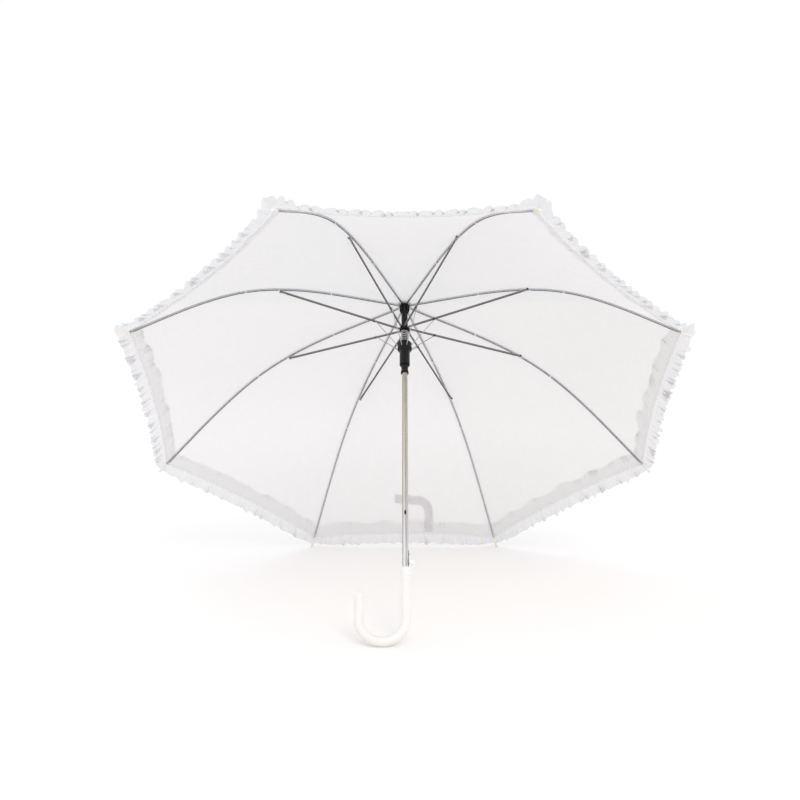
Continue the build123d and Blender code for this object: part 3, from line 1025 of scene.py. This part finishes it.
class UMBRELLA_OT_strap(Operator):
    """The tie strap, sewn at the hem and lying on the outside of the lowest gore"""

    bl_idname = "umbrella.strap"
    bl_label = "Tie strap"

    def execute(self, context):
        cloth = cloth_finish("strap_cloth_finish", (0.79, 0.77, 0.80), 0.35, 0.0, 0.0008, 0.95)
        count, cols = 70, 9
        run = np.linspace(0, STRAP_LENGTH, count)
        # up from the hem, then curling over to the side of the hook
        angle = np.clip((run - STRAP_LEG) / STRAP_CURL, 0, math.pi / 2)
        rest = np.clip(run - STRAP_LEG - STRAP_CURL * math.pi / 2, 0, None)
        side = STRAP_SIDE - STRAP_CURL * (1 - np.cos(angle)) - rest
        rise = np.minimum(run, STRAP_LEG) + STRAP_CURL * np.sin(angle) + 0.08 * rest
        points, uv = [], []
        for j in range(cols):
            w = j / (cols - 1) - 0.5
            beside = side + w * STRAP_WIDTH * np.cos(angle)
            up = rise + w * STRAP_WIDTH * np.sin(angle)
            radius = (STRAP_HEM - up / STRAP_SLANT) / RIM_COSINE
            lift = 0.0012 + 0.0036 * np.exp(-(((up - 0.012) / 0.016) ** 2)) + 0.0006 * (1 - 4 * w * w)
            lift = lift + 0.0008 * np.sin(run * 70) ** 2
            points.append(surface(STRAP_GORE, beside / (radius * RIM_SINE), radius, lift))
            uv.append(np.stack([np.full(count, w * STRAP_WIDTH), run], 1))
        uv = np.concatenate(uv)
        o = mesh_piece("tie_strap_cloth", np.concatenate(points), grid_faces(cols, count), cloth, uv)
        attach(o, "rib_outer_7")
        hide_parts("tie_strap")
        folded(o)
        return {"FINISHED"}


class UMBRELLA_OT_spring(Operator):
    """The bright coil spring between the two runners"""

    bl_idname = "umbrella.spring"
    bl_label = "Coil spring"

    def execute(self, context):
        steel = steel_finish("spring_steel_finish", (0.72, 0.72, 0.73), 0.2, 0.75)
        tree, ids = coil_tree()
        runner = to_local(node_points("upper_runner"))
        low = runner[:, 2].max() + COIL_END
        high = RUNNER_TOP + SEAT - COIL_END
        values = {"Height": high - low, "Material": steel}
        o = grown("spring_coil", bpy.data.meshes.new("seed"), tree, ids, values)
        place = Matrix.Translation(Vector(to_row([[0, 0, low]])[0])) @ Matrix(TURN.tolist()).to_4x4()
        o.data.transform(place)
        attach(o, "upper_runner")
        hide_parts("coil_spring")
        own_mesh(o)
        return {"FINISHED"}


def node_points(name):
    me = frame["nodes"][name].data
    p = np.zeros(len(me.vertices) * 3, np.float32)
    me.vertices.foreach_get("co", p)
    return p.reshape(-1, 3).astype(float)


def to_local(points):
    return (points - ORIGIN) @ TURN


class UMBRELLA_OT_fittings(Operator):
    """Finishes of the shaft, ribs, runners, handle and the other hard parts"""

    bl_idname = "umbrella.fittings"
    bl_label = "Fittings"

    def execute(self, context):
        f = settings().finish
        ribs = range(1, RIBS + 1)
        repaint(["shaft"], shaft_finish(tuple(f.shaft)))
        repaint(
            [f"rib_{p}_{k}" for p in ("inner", "outer") for k in ribs],
            steel_finish("rib_steel_finish", (0.60, 0.61, 0.63), 0.26),
        )
        dark_steel = steel_finish("stretcher_steel_finish", (0.30, 0.29, 0.28), 0.32)
        repaint([f"stretcher_{k}" for k in ribs], dark_steel)
        repaint([f"strut_{k}" for k in ribs], steel_finish("strut_steel_finish", (0.46, 0.47, 0.49), 0.3))
        repaint(["release_lever"], steel_finish("lever_steel_finish", (0.40, 0.40, 0.40), 0.3))
        black = plastic_finish("black_plastic_finish", f.black, 0.36, 0.0, 0.7, shine=0.2)
        repaint(["top_notch", "spacer_sleeve", "upper_runner", "lower_runner"], black)
        white = plastic_finish("white_plastic_finish", (0.84, 0.84, 0.83), 0.3, 0.2, 0.96)
        repaint(["rosette_cap", "ferrule"], white)
        button = plastic_finish("button_plastic_finish", (0.88, 0.88, 0.87), 0.22, 0.4, 0.96)
        repaint(["push_button"], button)
        milky = plastic_finish("handle_plastic_finish", f.handle, 0.16, 0.6, 0.97, 0.00002, 0.35)
        repaint(["handle"], milky)
        yellowed = plastic_finish("tip_plastic_finish", (0.80, 0.76, 0.68), 0.35, 0.2)
        repaint([f"rib_tip_{k}" for k in ribs], yellowed)
        return {"FINISHED"}


class UMBRELLA_OT_stage(Operator):
    """Pale floor that glows as painted light, soft light and the camera"""

    bl_idname = "umbrella.stage"
    bl_label = "Stage"

    def execute(self, context):
        s = settings().stage
        scene = context.scene
        floor, tree, main, _ = start("floor_finish")
        main.inputs["Base Color"].default_value = (0.73, 0.715, 0.695, 1)
        main.inputs["Roughness"].default_value = 0.9
        main.inputs["Specular IOR Level"].default_value = 0.0
        # the floor glows, more with distance from the middle: painted light that whitens its far part and
        # softens the shadows on it
        main.inputs["Emission Strength"].default_value = 1.0
        place = add(tree, "ShaderNodeTexCoord")
        far = add(tree, "ShaderNodeVectorMath", [(0, place.outputs["Object"])], operation="LENGTH")
        glow = add(tree, "ShaderNodeMapRange", [(0, far.outputs["Value"])], interpolation_type="SMOOTHSTEP")
        glow.inputs["From Min"].default_value = 0.6
        glow.inputs["From Max"].default_value = 2.4
        glow.inputs["To Min"].default_value = 0.19
        glow.inputs["To Max"].default_value = 0.34
        tree.links.new(glow.outputs[0], main.inputs["Emission Color"])
        half = s.floor / 2
        o = mesh_piece(
            "floor",
            [(-half, -half, 0), (half, -half, 0), (half, half, 0), (-half, half, 0)],
            [(0, 1, 2, 3)],
            floor,
            smooth=False,
        )
        world = bpy.data.worlds.new("studio")
        scene.world = world
        world.use_nodes = True
        world.node_tree.nodes["Background"].inputs["Color"].default_value = (0.965, 0.975, 1.0, 1)
        world.node_tree.nodes["Background"].inputs["Strength"].default_value = 1.04
        self.lamp("soft_front", (0.9, -2.6, 2.6), (0, 0.1, 0.2), 2.4, 38, (1.0, 0.92, 0.86))
        self.lamp("soft_left", (-2.0, 1.6, 2.4), (-0.2, 0.1, 0.5), 1.6, 12, (0.66, 0.78, 1.0))
        scene.view_settings.view_transform = "Standard"
        scene.view_settings.look = "None"
        cam = bpy.data.cameras.new("camera")
        cam.lens = s.lens
        cam.sensor_width = 36
        cam.clip_end = 200
        view = bpy.data.objects.new("camera", cam)
        context.collection.objects.link(view)
        down = s.shaft_angle - math.asin(-AXIS_Z[2])
        forward = Vector((0, math.cos(down), -math.sin(down)))
        up = Vector((0, math.sin(down), math.cos(down)))
        notch = Vector(ORIGIN)
        view.location = notch - REACH * (Vector((RIGHT, 0, 0)) + RAISED * up + AHEAD * forward)
        view.rotation_euler = (math.pi / 2 - down, 0, 0)
        scene.camera = view
        return {"FINISHED"}

    def lamp(self, name, at, to, size, watts, color):
        light = bpy.data.lights.new(name, "AREA")
        light.shape = "DISK"
        light.size = size
        light.energy = watts
        light.color = color
        o = bpy.data.objects.new(name, light)
        bpy.context.collection.objects.link(o)
        o.location = at
        o.rotation_euler = (Vector(to) - Vector(at)).to_track_quat("-Z", "Y").to_euler()


class UMBRELLA_PT_panel(Panel):
    bl_label = "Umbrella"
    bl_idname = "UMBRELLA_PT_panel"
    bl_space_type = "VIEW_3D"
    bl_region_type = "UI"
    bl_category = "Umbrella"

    def draw(self, context):
        layout = self.layout
        for part in ("canopy", "frill", "finish", "stage"):
            values = getattr(context.scene.umbrella, part)
            box = layout.box()
            box.label(text=part.capitalize())
            for name in values.__annotations__:
                box.prop(values, name)
        for step in STEPS:
            layout.operator(step.bl_idname)


STEPS = (
    UMBRELLA_OT_stage,
    UMBRELLA_OT_fittings,
    UMBRELLA_OT_canopy,
    UMBRELLA_OT_frill,
    UMBRELLA_OT_strap,
    UMBRELLA_OT_stitching,
    UMBRELLA_OT_spring,
    UMBRELLA_OT_rivets,
)
CLASSES = (CanopySizes, FrillSizes, Finishes, StageSizes, UmbrellaSettings, *STEPS, UMBRELLA_PT_panel)


def register():
    for c in CLASSES:
        bpy.utils.register_class(c)
    bpy.types.Scene.umbrella = PointerProperty(type=UmbrellaSettings)


def unregister():
    del bpy.types.Scene.umbrella
    for c in reversed(CLASSES):
        bpy.utils.unregister_class(c)


def main():
    register()
    for step in STEPS:
        part, name = step.bl_idname.split(".")
        getattr(getattr(bpy.ops, part), name)()

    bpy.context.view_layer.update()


if __name__ == "__main__":
    main()
